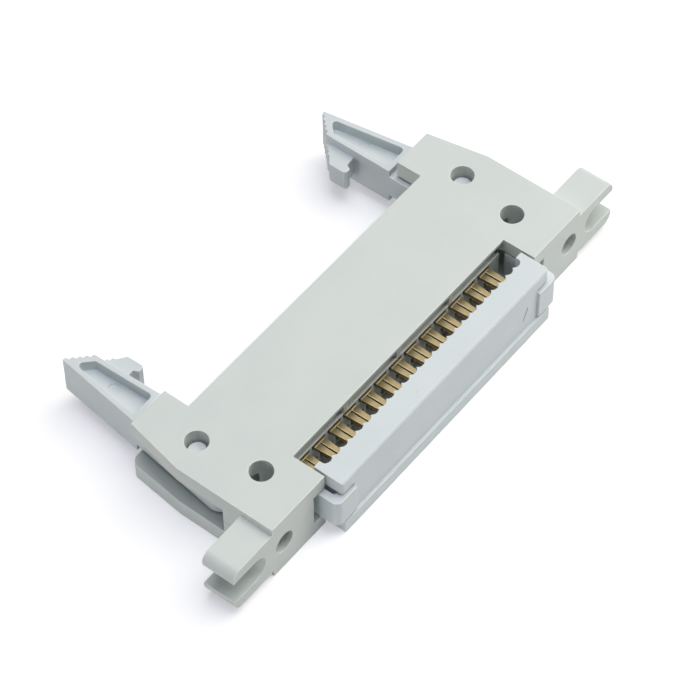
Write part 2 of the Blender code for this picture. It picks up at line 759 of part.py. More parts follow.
def make_latch(name, side, ajar, material):
    """An ejector latch, with its origin on its pivot axis."""
    tongue_half = MID - TOWER_PLATE - FIT
    arm = mirrored(latch_arm_outline(), side)
    latch = prisms(name, [arm], -LATCH_HALF_HEIGHT, LATCH_HALF_HEIGHT, material=material)
    tongue = [mirrored(latch_tongue_outline(), side)]
    fuse(latch, prisms(name + "_tongue", tongue, -tongue_half, tongue_half))
    hook = [mirrored(latch_hook_outline(), side)]
    fuse(latch, prisms(name + "_hook", hook, -HOOK_HALF_HEIGHT, HOOK_HALF_HEIGHT))
    trunnion_half = MID - TRUNNION_DEPTH
    trunnion = [circle((0.0, 0.0), PIVOT_HOLE_RADIUS - FIT)]
    fuse(latch, prisms(name + "_trunnion", trunnion, -trunnion_half, trunnion_half))
    radii = [POCKET_HEEL_ROUND, POCKET_HEEL_ROUND, POCKET_TIP_ROUND, POCKET_HOOK_ROUND]
    pocket = rounded(offset_inwards(latch_arm_corners(), POCKET_WALL), radii)
    floor = LATCH_HALF_HEIGHT - POCKET_DEPTH
    top = LATCH_HALF_HEIGHT + SPILL
    outline = [mirrored(pocket, side)]
    cut(latch, prisms(name + "_upper_pocket", outline, floor, top))
    cut(latch, prisms(name + "_lower_pocket", outline, -top, -floor))
    latch.location = (side * PIVOT_X, PIVOT_Y, MID)
    latch.rotation_euler = (0.0, 0.0, -side * ajar)
    return latch


def main():
    """Build the plug."""
    clear_scene()
    grey = make_material("grey_moulding", (0.66, 0.70, 0.68), 0.45)
    pale = make_material("pale_grey_moulding", (0.68, 0.75, 0.77), 0.42)
    blue = make_material("blue_grey_moulding", (0.52, 0.60, 0.64), 0.42)
    gold = make_material("gilt_brass", (0.62, 0.47, 0.24), 0.35, 0.9)
    make_housing(grey)
    make_cover(pale)
    make_latch("latch_left", -1, LEFT_LATCH_AJAR, blue)
    make_latch("latch_right", 1, 0.0, blue)
    make_contacts(gold)


main()
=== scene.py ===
"""Looks for the ribbon cable plug: its mouldings, its stamped contacts and a plain photo studio.

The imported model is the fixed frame. Every moulded piece is a copy of its CAD solid with the small
edge rounding that a mould leaves, plus the marks of the mould. The contacts are modelled anew.
All lengths are in metres unless a name says millimetres.
"""

import logging
import math
from dataclasses import dataclass, field
from enum import Enum

import bmesh
import bpy
from mathutils import Matrix, Vector


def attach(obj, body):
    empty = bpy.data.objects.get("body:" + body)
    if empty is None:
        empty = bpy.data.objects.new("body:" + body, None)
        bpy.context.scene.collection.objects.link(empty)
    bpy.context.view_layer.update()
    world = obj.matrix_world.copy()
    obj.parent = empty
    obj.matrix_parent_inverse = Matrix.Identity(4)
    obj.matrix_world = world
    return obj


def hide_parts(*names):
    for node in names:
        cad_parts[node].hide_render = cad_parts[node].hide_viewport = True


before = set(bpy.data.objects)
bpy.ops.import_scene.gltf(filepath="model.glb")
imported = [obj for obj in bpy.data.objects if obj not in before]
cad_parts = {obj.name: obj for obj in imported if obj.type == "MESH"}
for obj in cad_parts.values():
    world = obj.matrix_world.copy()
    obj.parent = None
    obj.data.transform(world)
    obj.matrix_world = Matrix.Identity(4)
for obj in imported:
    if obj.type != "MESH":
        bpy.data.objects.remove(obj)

MM = 0.001
# A colour mix node has its colours behind the number and vector inputs of the same names.
MIX_A, MIX_B, MIX_RESULT = 6, 7, 2
# Most values of a noise pattern lie between these.
NOISE_SPAN = (0.3, 0.7)
# The face layer that tells the finishes which faces belong to a rounded corner, where they paint a
# highlight.
HIGHLIGHT_RIM = "rim_highlight"
# Corners of the CAD triangles that are nearer to each other are the same corner.
MERGE_GAP = 0.002 * MM
# CAD faces that fold by less are one flat face, and folds beyond the sharp one are shaded crisp.
FLAT_FOLD = math.radians(1.0)
SHARP_FOLD = math.radians(50.0)
# Heights that differ by less are the same, and an edge that rises by less lies flat.
LEVEL_GAP = 1e-6
FLAT_RISE = 1e-9
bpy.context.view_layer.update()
log = logging.getLogger("ribbon_plug")


class Side(Enum):
    """Which end of the plug a piece belongs to, as the sign of its X."""

    LEFT = -1
    RIGHT = 1


class Row(Enum):
    """Which row of pins a contact stands in."""

    UPPER = "upper"
    LOWER = "lower"


def linear(colour: str) -> tuple[float, float, float, float]:
    """Turn an sRGB hex colour into the linear colour that a shader takes.

    Args:
        colour: Six hex digits after a hash sign.

    Returns:
        Red, green, blue and an alpha of 1.
    """
    channels = []
    for start in (1, 3, 5):
        value = int(colour[start : start + 2], 16) / 255
        channels.append(value / 12.92 if value <= 0.04045 else ((value + 0.055) / 1.055) ** 2.4)
    return (*channels, 1.0)


def add_node(
    tree: bpy.types.NodeTree,
    kind: str,
    inputs: dict[str | int, object] | None = None,
    **settings: object,
) -> bpy.types.Node:
    """Add one node to a tree with its settings, values and links.

    Args:
        tree: The node tree.
        kind: The node's Blender type.
        inputs: What each input gets, by name or number: a value, or another node's output to link.
        **settings: Properties of the node itself.

    Returns:
        The new node.
    """
    node = tree.nodes.new(kind)
    for name, value in settings.items():
        setattr(node, name, value)
    for key, value in (inputs or {}).items():
        if isinstance(value, bpy.types.NodeSocket):
            tree.links.new(value, node.inputs[key])
        else:
            node.inputs[key].default_value = value
    return node


def per_metre(size_mm: float) -> float:
    """Turn the real size of a pattern's cells into the scale of its node.

    Args:
        size_mm: The size of a cell in millimetres.

    Returns:
        How many cells fit in a metre.
    """
    return 1.0 / (size_mm * MM)


def shown_rays(tree: bpy.types.NodeTree) -> bpy.types.NodeSocket:
    """Tell the rays that show the backdrop, seen or mirrored, from those that carry its light.

    Args:
        tree: The node tree of the floor or the world.

    Returns:
        A value that is 1 on camera, glossy and transmission rays.
    """
    path = add_node(tree, "ShaderNodeLightPath").outputs
    mirrors = {0: path["Is Glossy Ray"], 1: path["Is Transmission Ray"]}
    mirrored = add_node(tree, "ShaderNodeMath", mirrors, operation="MAXIMUM")
    either = {0: path["Is Camera Ray"], 1: mirrored.outputs["Value"]}
    return add_node(tree, "ShaderNodeMath", either, operation="MAXIMUM").outputs["Value"]


def blend(
    tree: bpy.types.NodeTree, amount: bpy.types.NodeSocket, first: object, second: object
) -> bpy.types.NodeSocket:
    """Blend two colours.

    Args:
        tree: The material's node tree.
        amount: How much of the second colour shows, from 0 to 1.
        first: A linear colour, or the output that gives one.
        second: The same for the second colour.

    Returns:
        The blended colour.
    """
    inputs = {0: amount, MIX_A: first, MIX_B: second}
    return add_node(tree, "ShaderNodeMix", inputs, data_type="RGBA").outputs[MIX_RESULT]


def spread(
    tree: bpy.types.NodeTree,
    value: bpy.types.NodeSocket,
    taken: tuple[float, float],
    given: tuple[float, float],
) -> bpy.types.NodeSocket:
    """Stretch one range of a pattern's values over another range.

    Args:
        tree: The material's node tree.
        value: The pattern's value.
        taken: The ends of the range that is taken from it.
        given: What these ends become.

    Returns:
        The stretched value.
    """
    inputs = {
        "Value": value,
        "From Min": taken[0],
        "From Max": taken[1],
        "To Min": given[0],
        "To Max": given[1],
    }
    return add_node(tree, "ShaderNodeMapRange", inputs).outputs["Result"]


def roughen(
    tree: bpy.types.NodeTree,
    shader: bpy.types.Node,
    relief: bpy.types.NodeSocket,
    gloss: tuple[float, float],
    strength: float,
    depth_mm: float,
) -> None:
    """Let one fine pattern vary the roughness and raise the surface.

    Args:
        tree: The material's node tree.
        shader: Its principled shader.
        relief: The pattern's value.
        gloss: The roughness in its hollows and on its crests.
        strength: How strongly it turns the surface.
        depth_mm: How deep it is in millimetres.
    """
    rough = spread(tree, relief, NOISE_SPAN, gloss)
    tree.links.new(rough, shader.inputs["Roughness"])
    raised = {"Height": relief, "Strength": strength, "Distance": depth_mm * MM}
    bump = add_node(tree, "ShaderNodeBump", raised)
    tree.links.new(bump.outputs["Normal"], shader.inputs["Normal"])


@dataclass(frozen=True)
class Finish:
    """A procedural finish. Its material is built once and then found again by its name."""

    name: str

    def material(self) -> bpy.types.Material:
        """Find the finish's material, or build it.

        Returns:
            The material.
        """
        made = bpy.data.materials.get(self.name)
        if made is None:
            made = bpy.data.materials.new(self.name)
            made.use_nodes = True
            self.dress(made.node_tree, made.node_tree.nodes["Principled BSDF"])
        return made

    def dress(self, tree: bpy.types.NodeTree, shader: bpy.types.Node) -> None:
        """Add the nodes that make the look. A plain finish has none.

        Args:
            tree: The material's node tree.
            shader: Its principled shader.
        """


@dataclass(frozen=True)
class MouldedPolyester(Finish):
    """Glass-filled PBT as it leaves a spark-eroded mould.

    The eye sees a matt, pale surface with a very fine grain, faint clouds where the melt flowed,
    now and then a dark fleck, and a painted highlight that makes the corners a little lighter than
    the faces.
    """

    colour: str
    cloud: str
    # The lighter colour of the corners is a painted highlight.
    rim_highlight: str
    fleck: str = "#6F736F"
    roughness: float = 0.48
    smoother: float = 0.06
    rougher: float = 0.08
    ior: float = 1.55
    specular: float = 0.4
    # The real grain is about a third of this. It is drawn one pixel wide so that it shows.
    grain_mm: float = 0.11
    grain_depth_mm: float = 0.012
    grain_strength: float = 0.22
    cloud_mm: float = 7.0
    fleck_cell_mm: float = 4.2
    fleck_mm: float = 0.05
    fleck_core: float = 0.6
    fleck_dark: float = 0.55

    def dress(self, tree: bpy.types.NodeTree, shader: bpy.types.Node) -> None:
        """Draw the clouds, the painted highlight on the corners, the flecks and the grain.

        Args:
            tree: The material's node tree.
            shader: Its principled shader.
        """
        place = add_node(tree, "ShaderNodeTexCoord").outputs["Object"]
        melt = {"Scale": per_metre(self.cloud_mm), "Detail": 3.0, "Roughness": 0.55}
        clouds = add_node(tree, "ShaderNodeTexNoise", {"Vector": place, **melt}).outputs["Fac"]
        cloudy = spread(tree, clouds, (0.35, 0.7), (0.0, 1.0))
        body = blend(tree, cloudy, linear(self.colour), linear(self.cloud))
        # The rounded corners get a lighter colour: a painted highlight.
        painted_highlight_mask = add_node(tree, "ShaderNodeAttribute", attribute_name=HIGHLIGHT_RIM).outputs["Fac"]
        painted_corners = blend(tree, painted_highlight_mask, body, linear(self.rim_highlight))
        dots = {"Vector": place, "Scale": per_metre(self.fleck_cell_mm)}
        cells = add_node(tree, "ShaderNodeTexVoronoi", dots).outputs["Distance"]
        reach = self.fleck_mm / self.fleck_cell_mm
        fleck = spread(tree, cells, (reach * self.fleck_core, reach), (self.fleck_dark, 0.0))
        flecked = blend(tree, fleck, painted_corners, linear(self.fleck))
        tree.links.new(flecked, shader.inputs["Base Color"])
        eroded = {"Scale": per_metre(self.grain_mm), "Detail": 2.0, "Roughness": 0.5}
        grain = add_node(tree, "ShaderNodeTexNoise", {"Vector": place, **eroded}).outputs["Fac"]
        gloss = (self.roughness - self.smoother, self.roughness + self.rougher)
        roughen(tree, shader, grain, gloss, self.grain_strength, self.grain_depth_mm)
        shader.inputs["IOR"].default_value = self.ior
        shader.inputs["Specular IOR Level"].default_value = self.specular


@dataclass(frozen=True)
class StampedBronze(Finish):
    """Phosphor bronze strip, stamped and coined, under a thin flash of gold.

    The eye sees a brassy metal with fine drawing lines along the strip, a duller rolled face,
    and a painted highlight on its rounded edges.
    """

    colour: str
    dull: str
    # A painted highlight on the rounded edges.
    edge_highlight: str
    roughness: float = 0.4
    smoother: float = 0.08
    rougher: float = 0.12
    # Real drawing lines are a few thousandths of a millimetre wide. They are drawn coarser, so
    # that they stir the gloss.
    line_mm: float = 0.03
    line_depth_mm: float = 0.001
    line_strength: float = 0.1
    blotch_mm: float = 1.6

    def dress(self, tree: bpy.types.NodeTree, shader: bpy.types.Node) -> None:
        """Draw the dull rolled face, the painted highlight on the edges and the drawing lines.

        Args:
            tree: The material's node tree.
            shader: Its principled shader.
        """
        place = add_node(tree, "ShaderNodeTexCoord").outputs["Object"]
        rolled = {"Scale": per_metre(self.blotch_mm), "Detail": 3.0, "Roughness": 0.6}
        blotches = add_node(tree, "ShaderNodeTexNoise", {"Vector": place, **rolled}).outputs["Fac"]
        face = blend(tree, blotches, linear(self.colour), linear(self.dull))
        # The rounded edges get a lighter colour: a painted highlight.
        painted_highlight_mask = add_node(tree, "ShaderNodeAttribute", attribute_name=HIGHLIGHT_RIM).outputs["Fac"]
        painted_edges = blend(tree, painted_highlight_mask, face, linear(self.edge_highlight))
        tree.links.new(painted_edges, shader.inputs["Base Color"])
        # The lines run along Y, so the pattern is drawn out twenty times in that direction.
        along = {"Vector": place, "Scale": (1.0, 0.05, 1.0)}
        drawn = add_node(tree, "ShaderNodeMapping", along).outputs["Vector"]
        ruled = {"Vector": drawn, "Scale": per_metre(self.line_mm), "Detail": 2.0}
        lines = add_node(tree, "ShaderNodeTexNoise", ruled).outputs["Fac"]
        gloss = (self.roughness - self.smoother, self.roughness + self.rougher)
        roughen(tree, shader, lines, gloss, self.line_strength, self.line_depth_mm)
        shader.inputs["Metallic"].default_value = 1.0


# The third colour of each moulding and of the contact metal is a painted highlight on its rounded
# edges.
HOUSING_GREY = MouldedPolyester("moulded_pbt_housing_grey", "#D2D8D5", "#CDD4D1", "#E7E9E2")
COVER_GREY = MouldedPolyester("moulded_pbt_cover_pale_grey", "#D5DDE0", "#D0D9DC", "#E6EAE9")
LATCH_GREY = MouldedPolyester("moulded_pbt_latch_blue_grey", "#D2D9DB", "#CDD5D8", "#E0E5E5")
CONTACT_METAL = StampedBronze("stamped_gilt_bronze", "#928668", "#85795B", "#B9AA88")


def highlight_layer(bm: bmesh.types.BMesh) -> bmesh.types.BMLayerItem:
    """Find the layer that marks rounded corners for their painted highlight, or add it.

    Args:
        bm: The mesh.

    Returns:
        The face layer.
    """
    layers = bm.faces.layers.float
    return layers.get(HIGHLIGHT_RIM) or layers.new(HIGHLIGHT_RIM)


def round_edges(
    bm: bmesh.types.BMesh, edges: list[bmesh.types.BMEdge], radius: float, segments: int = 2
) -> None:
    """Round some edges of a mesh and mark the new corner faces, which get a painted highlight.

    Args:
        bm: The mesh.
        edges: The edges to round.
        radius: How far back from the edge the rounding starts.
        segments: How many facets the rounding has.
    """
    # The layer has to be there first, because adding it later would lose the bevel's faces.
    highlight_layer(bm)
    rounded = bmesh.ops.bevel(
        bm,
        geom=edges,
        offset=radius,
        segments=segments,
        profile=0.5,
        affect="EDGES",
        material=-1,
        clamp_overlap=False,
        miter_inner="SHARP",
        miter_outer="SHARP",
    )
    layer = highlight_layer(bm)
    for face in rounded["faces"]:
        face[layer] = 1.0


def outer_edges(bm: bmesh.types.BMesh, degrees: float) -> list[bmesh.types.BMEdge]:
    """Find the outer edges of a moulding. Its inner corners stay crisp, as in the mould.

    Args:
        bm: The mesh.
        degrees: The least fold.

    Returns:
        The edges with two faces that fold outwards by more.
    """
    least = math.radians(degrees)
    return [edge for edge in bm.edges if edge.is_convex and edge.calc_face_angle(0.0) > least]


def add_block(
    bm: bmesh.types.BMesh,
    middle: tuple[float, float, float],
    size: tuple[float, float, float],
    degrees: float = 0.0,
) -> list[bmesh.types.BMVert]:
    """Add a box to a mesh.

    Args:
        bm: The mesh.
        middle: The box's middle.
        size: Its lengths along X, Y and Z.
        degrees: How far it is turned about its own Y.

    Returns:
        Its corners.
    """
    turn = Matrix.Rotation(math.radians(degrees), 4, "Y")
    matrix = Matrix.Translation(middle) @ turn @ Matrix.Diagonal((*size, 1.0))
    return bmesh.ops.create_cube(bm, size=1.0, matrix=matrix)["verts"]


def add_piece(
    name: str, bm: bmesh.types.BMesh, material: bpy.types.Material, body: str
) -> bpy.types.Object:
    """Turn a finished bmesh into a smooth-shaded piece that rides on a CAD body.

    Args:
        name: The piece's name.
        bm: The mesh, which is freed.
        material: Its finish.
        body: The CAD body that it moves with.

    Returns:
        The new object.
    """
    mesh = bpy.data.meshes.new(name)
    bm.to_mesh(mesh)
    bm.free()
    mesh.materials.clear()
    mesh.materials.append(material)
    # The shading directions copied from the CAD mesh don't fit the new faces.
    copied = mesh.attributes.get("custom_normal")
    if copied is not None:
        mesh.attributes.remove(copied)
    mesh.shade_smooth()
    mesh.set_sharp_from_angle(angle=SHARP_FOLD)
    piece = bpy.data.objects.new(name, mesh)
    bpy.context.scene.collection.objects.link(piece)
    weighting = piece.modifiers.new("flat_faces", "WEIGHTED_NORMAL")
    weighting.keep_sharp = True
    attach(piece, body)
    log.info("%s: %d faces on %s", name, len(mesh.polygons), body)
    return piece


@dataclass
class Moulding:
    """A moulded piece: its CAD solid with the sharp edges rounded as a mould leaves them."""

    node: str
    body: str
    slot: str
    finish: MouldedPolyester
    edge_radius: float = 0.06 * MM
    edge_segments: int = 2
    fold_degrees: float = 32.0

    def merged_solid(self) -> bmesh.types.BMesh:
        """Copy the CAD solid, join its loose triangles and clear the edges inside flat faces.

        Returns:
            The copy as one closed skin of flat faces.
        """
        bm = bmesh.new()
        bm.from_mesh(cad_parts[self.node].data)
        bmesh.ops.remove_doubles(bm, verts=bm.verts, dist=MERGE_GAP)
        bmesh.ops.dissolve_limit(
            bm,
            angle_limit=FLAT_FOLD,
            use_dissolve_boundaries=False,
            verts=bm.verts,
            edges=bm.edges,
        )
        return bm

    def add_marks(self, bm: bmesh.types.BMesh) -> None:
        """Add what the mould or its maker left on the piece. A plain moulding has nothing.

        Args:
            bm: The piece's mesh.
        """

    def build(self) -> bpy.types.Object:
        """Make the piece that stands for the CAD node.

        Returns:
            The dressed piece.
        """
        bm = self.merged_solid()
        edges = outer_edges(bm, self.fold_degrees)
        round_edges(bm, edges, self.edge_radius, self.edge_segments)
        self.add_marks(bm)
        name = self.node + "_moulding"
        piece = add_piece(name, bm, self.finish.material(), self.body)
        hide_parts(self.node)
        return piece


@dataclass
class Housing(Moulding):
    """The housing, with a mould's flash line on each flank and a floor in each narrow groove."""

    node: str = "housing"
    body: str = "housing"
    slot: str = "housing"
    finish: MouldedPolyester = HOUSING_GREY
    flash_height: float = 4.05 * MM
    flash_size: float = 0.1 * MM
    flank_x: float = 26.02 * MM
    flank_start: float = -2.9 * MM
    flank_end: float = -0.75 * MM
    groove_back: float = -2.47 * MM
    groove_front: float = -1.98 * MM
    groove_floors: tuple[float, float] = (5.575 * MM, 2.525 * MM)
    groove_skin: float = 0.07 * MM
    groove_half: float = 17.2 * MM

    def add_marks(self, bm: bmesh.types.BMesh) -> None:
        """Cover the blades in both grooves with a floor, and lay a flash line along each flank.

        Args:
            bm: The housing's mesh.
        """
        groove_y = (self.groove_back + self.groove_front) / 2
        depth = self.groove_front - self.groove_back
        skin = (2 * self.groove_half, depth, self.groove_skin)
        for height in self.groove_floors:
            add_block(bm, (0.0, groove_y, height), skin)
        flank_y = (self.flank_start + self.flank_end) / 2
        line = (self.flash_size, self.flank_end - self.flank_start, self.flash_size)
        for side in Side:
            # Turned by 45 degrees, the line shows one of its edges.
            middle = (side.value * self.flank_x, flank_y, self.flash_height)
            add_block(bm, middle, line, degrees=45.0)


@dataclass
class Cover(Moulding):
    """The press-on cover, with the raised triangle that marks the first wire."""

    node: str = "cover"
    body: str = "cover"
    slot: str = "cover"
    finish: MouldedPolyester = COVER_GREY
    edge_radius: float = 0.08 * MM
    back_y: float = -9.12 * MM
    mark_x: float = 13.8 * MM
    mark_low: float = 3.5 * MM
    mark_height: float = 1.9 * MM
    mark_width: float = 1.6 * MM
    mark_slope: float = 0.84
    mark_proud: float = 0.11 * MM

    def add_marks(self, bm: bmesh.types.BMesh) -> None:
        """Raise a triangle with sloping sides on the cover's back.

        Args:
            bm: The cover's mesh.
        """
        # A circle of three sides stands 1.5 radii high and the square root of three wide.
        wide, high = self.mark_width / math.sqrt(3.0), self.mark_height / 1.5
        upright = Matrix.Rotation(math.radians(90.0), 4, "X")
        middle = (self.mark_x, self.back_y, self.mark_low + self.mark_height / 3)
        bmesh.ops.create_cone(
            bm,
            cap_ends=True,
            segments=3,
            radius1=1.0,
            radius2=self.mark_slope,
            depth=2 * self.mark_proud,
            matrix=Matrix.Translation(middle) @ upright @ Matrix.Diagonal((wide, high, 1.0, 1.0)),
        )


@dataclass
class Latch(Moulding):
    """An ejector latch, with the witness of an ejector pin on the floor of each pocket."""

    node: str = "latch_right"
    body: str = "latch_right"
    slot: str = "latch"
    finish: MouldedPolyester = LATCH_GREY
    side: Side = Side.RIGHT
    edge_radius: float = 0.09 * MM
    edge_segments: int = 3
    witness_x: float = 20.85 * MM
    witness_y: float = 18.17 * MM
    witness_radius: float = 0.73 * MM
    witness_depth: float = 0.09 * MM
    witness_segments: int = 40
    floors: tuple[float, float] = (5.15 * MM, 2.95 * MM)

    def sink_witness(self, bm: bmesh.types.BMesh, floor: bmesh.types.BMFace) -> None:
        """Press the round end of an ejector pin a little way into a pocket floor.

        Args:
            bm: The latch's mesh.
            floor: The flat face of the floor, which is made anew round the mark.
        """
        inward = -self.witness_depth * floor.normal
        height = floor.calc_center_median().z
        middle = (self.side.value * self.witness_x, self.witness_y, height)
        outline = list(floor.edges)
        bmesh.ops.delete(bm, geom=[floor], context="FACES_ONLY")
        ring = bmesh.ops.create_circle(
            bm,
            cap_ends=False,
            segments=self.witness_segments,
            radius=self.witness_radius,
            matrix=Matrix.Translation(middle),
        )["verts"]
        circle = list({edge for vert in ring for edge in vert.link_edges})
        bmesh.ops.triangle_fill(bm, use_beauty=True, edges=outline + circle)
        grown = bmesh.ops.extrude_edge_only(bm, edges=circle)["geom"]
        sunk = [item for item in grown if isinstance(item, bmesh.types.BMVert)]
        bmesh.ops.translate(bm, vec=inward, verts=sunk)
        bottom = [item for item in grown if isinstance(item, bmesh.types.BMEdge)]
        bmesh.ops.contextual_create(bm, geom=bottom)
        bmesh.ops.recalc_face_normals(bm, faces=bm.faces)

    def add_marks(self, bm: bmesh.types.BMesh) -> None:
        """Mark both pocket floors with the witness of an ejector pin.

        Args:
            bm: The latch's mesh.
        """
        bm.normal_update()
        for height in self.floors:
            level = [f for f in bm.faces if abs(f.calc_center_median().z - height) < LEVEL_GAP]
            self.sink_witness(bm, max(level, key=lambda face: face.calc_area()))


@dataclass
class Contact:
    """One stamped contact: a square pin, a blade with a coined collar, and a two-tined fork."""

    number: int
    x: float
    height: float
    shift: float
    pin_size: float = 0.64 * MM
    pin_reach: float = 6.0 * MM
    pin_point: float = 0.6 * MM
    pin_root: float = -1.1 * MM
    point_scale: float = 0.45
    blade_width: float = 1.66 * MM
    blade_thick: float = 0.4 * MM
    blade_root: float = -1.25 * MM
    wall_back: float = -2.75 * MM
    collar_length: float = 0.22 * MM
    collar_proud: float = 0.05 * MM
    slot_width: float = 0.18 * MM
    fork_tip: float = -5.4 * MM
    tine_taper: float = 0.14 * MM
    tip_start: float = 0.3 * MM
    tip_blunt: float = 0.2 * MM
    tip_flare: float = 0.06 * MM
    tip_round: float = 0.12 * MM
    tip_segments: int = 4
    edge: float = 0.04 * MM
    # Edges of the pin and of the blade that fold by more, in radians, are rounded.
    pin_fold: float = 0.4
    blade_fold: float = 1.2
    finish: StampedBronze = CONTACT_METAL

    def add_pin(self, bm: bmesh.types.BMesh) -> None:
        """Make the square pin with its coined point.

        Args:
            bm: The contact's mesh.
        """
        shank_end = self.pin_reach - self.pin_point
        middle = (self.x, (shank_end + self.pin_root) / 2, self.height)
        verts = add_block(bm, middle, (self.pin_size, shank_end - self.pin_root, self.pin_size))
        faces = {face for vert in verts for face in vert.link_faces}
        nose = max(faces, key=lambda face: face.calc_center_median().y)
        grown = bmesh.ops.extrude_discrete_faces(bm, faces=[nose])["faces"]
        tip = list(grown[0].verts)
        bmesh.ops.translate(bm, vec=(0.0, self.pin_point, 0.0), verts=tip)
        centre = Matrix.Translation((self.x, 0.0, self.height))
        narrow = (self.point_scale, 1.0, self.point_scale)
        bmesh.ops.scale(bm, vec=narrow, space=centre.inverted(), verts=tip)
        edges = {edge for vert in {*verts, *tip} for edge in vert.link_edges}
        folded = [edge for edge in edges if edge.calc_face_angle(0.0) > self.pin_fold]
        round_edges(bm, folded, self.edge)

    def slotted_blank(self, bm: bmesh.types.BMesh, centre: float) -> None:
        """Lay out the flat blank: a strip with the slot between its tines cut out.

        Args:
            bm: The mesh of the blank alone.
            centre: The X of the blade's middle.
        """
        level = self.height - self.blade_thick / 2
        middle = Matrix.Translation((centre, (self.blade_root + self.fork_tip) / 2, level))
        length = self.blade_root - self.fork_tip
        strip = middle @ Matrix.Diagonal((self.blade_width, length, 1.0, 1.0))
        bmesh.ops.create_grid(bm, x_segments=1, y_segments=1, size=0.5, matrix=strip)
        slot_root = self.wall_back - self.collar_length
        cuts = [
            ((centre - self.slot_width / 2, 0.0, 0.0), (1.0, 0.0, 0.0)),
            ((centre + self.slot_width / 2, 0.0, 0.0), (1.0, 0.0, 0.0)),
            ((0.0, slot_root, 0.0), (0.0, 1.0, 0.0)),
            ((0.0, self.fork_tip + self.tip_start, 0.0), (0.0, 1.0, 0.0)),
        ]
        for place, across in cuts:
            everything = [*bm.verts, *bm.edges, *bm.faces]
            bmesh.ops.bisect_plane(bm, geom=everything, plane_co=place, plane_no=across)
        gone = []
        for face in bm.faces:
            spot = face.calc_center_median()
            if abs(spot.x - centre) < self.slot_width / 2 and spot.y < slot_root:
                gone.append(face)
        bmesh.ops.delete(bm, geom=gone, context="FACES")

    def shape_tips(self, bm: bmesh.types.BMesh, centre: float) -> None:
        """Taper the tines and round their tips, which open a little towards the wire.

        Args:
            bm: The mesh of the blank alone.
            centre: The X of the blade's middle.
        """
        near = 0.01 * MM
        inner = self.slot_width / 2 + near
        tips = []
        for vert in bm.verts:
            side = math.copysign(1.0, vert.co.x - centre)
            from_tip = vert.co.y - self.fork_tip
            outermost = abs(vert.co.x - centre) > inner
            if from_tip < self.tip_start + near and outermost:
                vert.co.x -= side * self.tine_taper
            if from_tip < near:
                vert.co.x += side * (-self.tip_blunt if outermost else self.tip_flare)
                tips.append(vert)
        bmesh.ops.bevel(
            bm,
            geom=tips,
            offset=self.tip_round,
            segments=self.tip_segments,
            profile=0.5,
            affect="VERTICES",
            material=-1,
            clamp_overlap=True,
        )

    def add_fork(self, bm: bmesh.types.BMesh) -> None:
        """Stamp the blade with its slotted, blunt tines.

        Args:
            bm: The contact's mesh, which is empty so far.
        """
        centre = self.x + self.shift
        self.slotted_blank(bm, centre)
        self.shape_tips(bm, centre)
        grown = bmesh.ops.extrude_face_region(bm, geom=list(bm.faces))["geom"]
        lifted = [item for item in grown if isinstance(item, bmesh.types.BMVert)]
        bmesh.ops.translate(bm, vec=(0.0, 0.0, self.blade_thick), verts=lifted)
        bmesh.ops.recalc_face_normals(bm, faces=bm.faces)
        flat = [e for e in bm.edges if abs(e.verts[0].co.z - e.verts[1].co.z) < FLAT_RISE]
        folded = [edge for edge in flat if edge.calc_face_angle(0.0) > self.blade_fold]
        round_edges(bm, folded, self.edge)

    def add_collar(self, bm: bmesh.types.BMesh) -> None:
        """Coin the proud collar that stops the contact against the wall.

        Args:
            bm: The contact's mesh.
        """
        width = self.blade_width + self.edge
        thick = self.blade_thick + 2 * self.collar_proud
        middle = (self.x + self.shift, self.wall_back - self.collar_length / 2, self.height)
        verts = add_block(bm, middle, (width, self.collar_length, thick))
        edges = {edge for vert in verts for edge in vert.link_edges}
        round_edges(bm, list(edges), self.edge)

    def build(self) -> bpy.types.Object:
        """Make the contact that stands for its CAD node.

        Returns:
            The dressed contact.
        """
        name = f"contact_{self.number:02d}"
        bm = bmesh.new()
        self.add_fork(bm)
        self.add_collar(bm)
        self.add_pin(bm)
        piece = add_piece(name + "_stamping", bm, self.finish.material(), "housing")
        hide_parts(name)
        return piece


@dataclass
class ContactField:
    """The two rows of contacts on their staggered grids."""

    per_row: int = 13
    pitch: float = 2.54 * MM
    wire_pitch: float = 1.27 * MM
    middle_height: float = 4.05 * MM
    contacts: list[Contact] = field(default_factory=list)

    def build(self) -> list[bpy.types.Object]:
        """Make every contact, odd numbers in the upper row and even numbers in the lower row.

        Returns:
            The dressed contacts.
        """
        rise = {Row.UPPER: self.pitch / 2, Row.LOWER: -self.pitch / 2}
        shift = {Row.UPPER: -self.wire_pitch / 2, Row.LOWER: self.wire_pitch / 2}
        for column in range(self.per_row):
            x = (column - (self.per_row - 1) / 2) * self.pitch
            for offset, row in enumerate(Row, start=1):
                height = self.middle_height + rise[row]
                self.contacts.append(Contact(2 * column + offset, x, height, shift[row]))
        return [contact.build() for contact in self.contacts]


@dataclass(frozen=True)
class SoftLight:
    """A square soft light that faces the plug. Its power is in watts."""

    name: str
    place: tuple[float, float, float]
    size: float
    power: float
    colour: str

    def hang(self) -> None:
        """Add the light to the scene."""
        lamp = bpy.data.lights.new(self.name, "AREA")
        lamp.shape = "SQUARE"
        lamp.size = self.size
        lamp.energy = self.power
        lamp.color = linear(self.colour)[:3]
        light = bpy.data.objects.new(self.name, lamp)
        light.location = self.place
        light.rotation_mode = "QUATERNION"
        light.rotation_quaternion = (-Vector(self.place)).to_track_quat("-Z", "Y")
        bpy.context.scene.collection.objects.link(light)


LIGHTS = (
    SoftLight("key_softbox", (0.24, -0.08, 0.6), size=0.7, power=4.0, colour="#FFFBF3"),
    SoftLight("top_softbox", (-0.1, -0.03, 0.69), size=0.4, power=1.3, colour="#E2EBFF"),
    SoftLight("front_card", (0.2, -0.16, 0.1), size=0.12, power=0.16, colour="#FFFFFF"),
    SoftLight("side_card", (-0.6, 0.05, 0.1), size=0.18, power=0.7, colour="#FFFFFF"),
)


